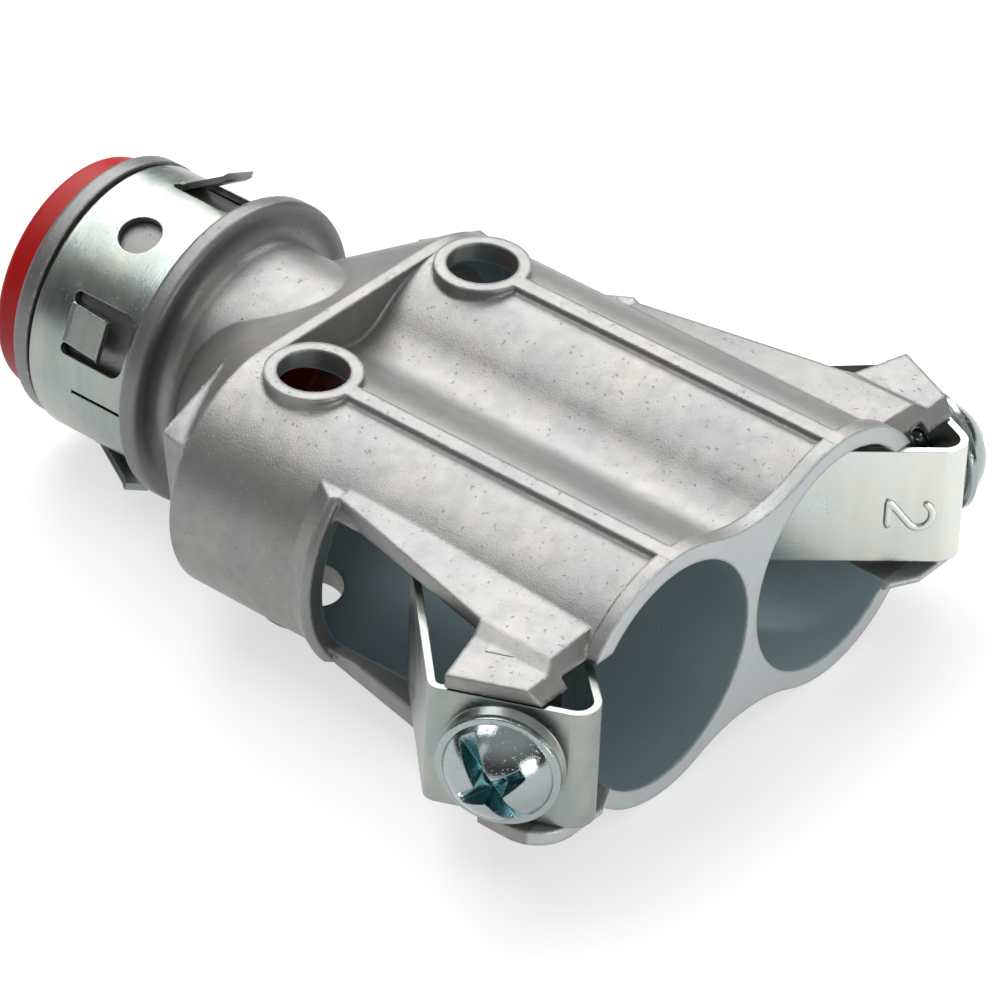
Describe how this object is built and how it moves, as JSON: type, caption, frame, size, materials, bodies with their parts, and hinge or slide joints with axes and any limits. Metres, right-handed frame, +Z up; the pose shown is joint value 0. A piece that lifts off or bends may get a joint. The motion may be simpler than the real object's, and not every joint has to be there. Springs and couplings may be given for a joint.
{
  "type": "duplex cable connector",
  "caption": "Die-cast connector that clamps two armoured cables side by side and snaps into a box knockout through a lined hub.",
  "frame": {"origin": "on the hub's axis, in the plane of the big flange's face that seats on the box wall", "axes": "+Y along the hub's axis, out through the knockout into the box; +X across the two barrels, from the left cable to the right cable; +Z up, square to both"},
  "size_m": [0.0594, 0.0692, 0.0252],
  "materials": {
    "body": "satin die-cast zinc with a fine grain",
    "throat_liner": "moulded red plastic",
    "snap_ring": "bright zinc-plated spring steel",
    "strap": "bright zinc-plated strip",
    "screw": "bright zinc-plated steel"
  },
  "bodies": {
    "casting": {"body": "body", "throat_liner": "throat_liner", "snap_ring": "snap_ring"},
    "left_clamp": {"left_strap": "strap"},
    "left_clamp_screw": {"left_screw": "screw"},
    "right_clamp": {"right_strap": "strap"},
    "right_clamp_screw": {"right_screw": "screw"}
  },
  "joints": [
    {"name": "left_strap_slide", "type": "slide", "parent": "casting", "child": "left_clamp", "axis": [0.9135, 0.4067, 0], "range_m": [0, 0.0025]},
    {"name": "left_screw_turn", "type": "hinge", "parent": "left_clamp", "child": "left_clamp_screw", "pos_m": [-0.02534, -0.04862, 0], "axis": [0.9135, 0.4067, 0], "range_deg": [0, 1135]},
    {"name": "right_strap_slide", "type": "slide", "parent": "casting", "child": "right_clamp", "axis": [-0.9135, 0.4067, 0], "range_m": [0, 0.0025]},
    {"name": "right_screw_turn", "type": "hinge", "parent": "right_clamp", "child": "right_clamp_screw", "pos_m": [0.02534, -0.04862, 0], "axis": [-0.9135, 0.4067, 0], "range_deg": [0, 1135]}
  ],
  "couplings": [
    {"joint": "left_screw_turn", "follows": "left_strap_slide", "rad_per_m": 7915.8},
    {"joint": "right_screw_turn", "follows": "right_strap_slide", "rad_per_m": 7915.8}
  ]
}
